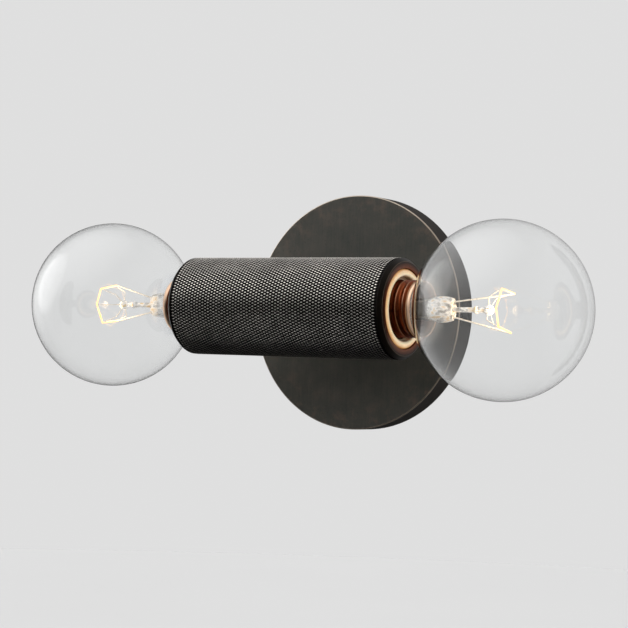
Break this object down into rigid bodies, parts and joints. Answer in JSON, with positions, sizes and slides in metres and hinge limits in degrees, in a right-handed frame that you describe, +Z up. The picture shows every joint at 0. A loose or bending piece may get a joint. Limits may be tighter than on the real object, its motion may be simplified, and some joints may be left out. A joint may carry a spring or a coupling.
{
  "type": "double wall light",
  "caption": "Wall light: a knurled dark bronze tube across a round backplate on a short stem, with a clear globe lamp screwed into a recessed socket at each end of the tube.",
  "frame": {"origin": "middle of the crossbar's back face, in the plane of the wall", "axes": "+X along the tube towards the right-hand lamp as seen from the room, +Y into the wall, +Z up"},
  "size_m": [0.2934, 0.1062, 0.1142],
  "materials": {
    "bronze_finish": "satin, patinated dark bronze",
    "knurled_bronze": "fine diamond knurl, dark bronze",
    "zinc_steel": "zinc plated",
    "green_steel": "green plated",
    "copper": "bare copper",
    "brass": "satin",
    "porcelain": "glazed porcelain, warm white",
    "clear_glass": "clear",
    "black_glass": "gloss black",
    "solder": "dull solder",
    "nickel_wire": "drawn wire",
    "tungsten": "glowing filament",
    "black_insulation": "matte",
    "white_insulation": "matte",
    "connector_plastic": "matte orange"
  },
  "bodies": {
    "fixture": {"wall_crossbar": "zinc_steel", "canopy": "bronze_finish", "canopy_screws": "bronze_finish", "ground_screw": "green_steel", "ground_wire": "copper", "stem_post": "bronze_finish", "stem_nipple": "zinc_steel", "canopy_lock_washer": "zinc_steel", "nipple_locknuts": "zinc_steel", "saddle_washer": "zinc_steel", "knurled_tube": "knurled_bronze", "socket_strap": "zinc_steel", "socket_rivets": "brass", "socket_screws": "zinc_steel", "hot_leads": "black_insulation", "neutral_leads": "white_insulation", "wire_connectors": "connector_plastic", "left_end_ring": "bronze_finish", "left_socket_body": "porcelain", "left_socket_shell": "brass", "left_centre_contact": "brass", "right_end_ring": "bronze_finish", "right_socket_body": "porcelain", "right_socket_shell": "brass", "right_centre_contact": "brass"},
    "left_lamp_travel": {"left_bulb_tip": "solder"},
    "left_lamp": {"left_bulb_glass": "clear_glass", "left_bulb_base_shell": "brass", "left_bulb_insulator": "black_glass", "left_bulb_stem": "clear_glass", "left_bulb_lead_wires": "nickel_wire", "left_bulb_filament_supports": "nickel_wire", "left_bulb_filament": "tungsten"},
    "right_lamp_travel": {"right_bulb_tip": "solder"},
    "right_lamp": {"right_bulb_glass": "clear_glass", "right_bulb_base_shell": "brass", "right_bulb_insulator": "black_glass", "right_bulb_stem": "clear_glass", "right_bulb_lead_wires": "nickel_wire", "right_bulb_filament_supports": "nickel_wire", "right_bulb_filament": "tungsten"}
  },
  "joints": [
    {"name": "left_lamp_slide", "type": "slide", "parent": "fixture", "child": "left_lamp_travel", "axis": [-1, 0, 0], "range_m": [0, 0.01089]},
    {"name": "left_lamp_turn", "type": "hinge", "parent": "left_lamp_travel", "child": "left_lamp", "pos_m": [0, -0.0662, 0], "axis": [-1, 0, 0], "range_deg": [0, 1080]},
    {"name": "right_lamp_slide", "type": "slide", "parent": "fixture", "child": "right_lamp_travel", "axis": [1, 0, 0], "range_m": [0, 0.01089]},
    {"name": "right_lamp_turn", "type": "hinge", "parent": "right_lamp_travel", "child": "right_lamp", "pos_m": [0, -0.0662, 0], "axis": [1, 0, 0], "range_deg": [0, 1080]}
  ],
  "couplings": [
    {"joint": "left_lamp_slide", "follows": "left_lamp_turn", "m_per_rad": 0.00057757},
    {"joint": "right_lamp_slide", "follows": "right_lamp_turn", "m_per_rad": 0.00057757}
  ]
}
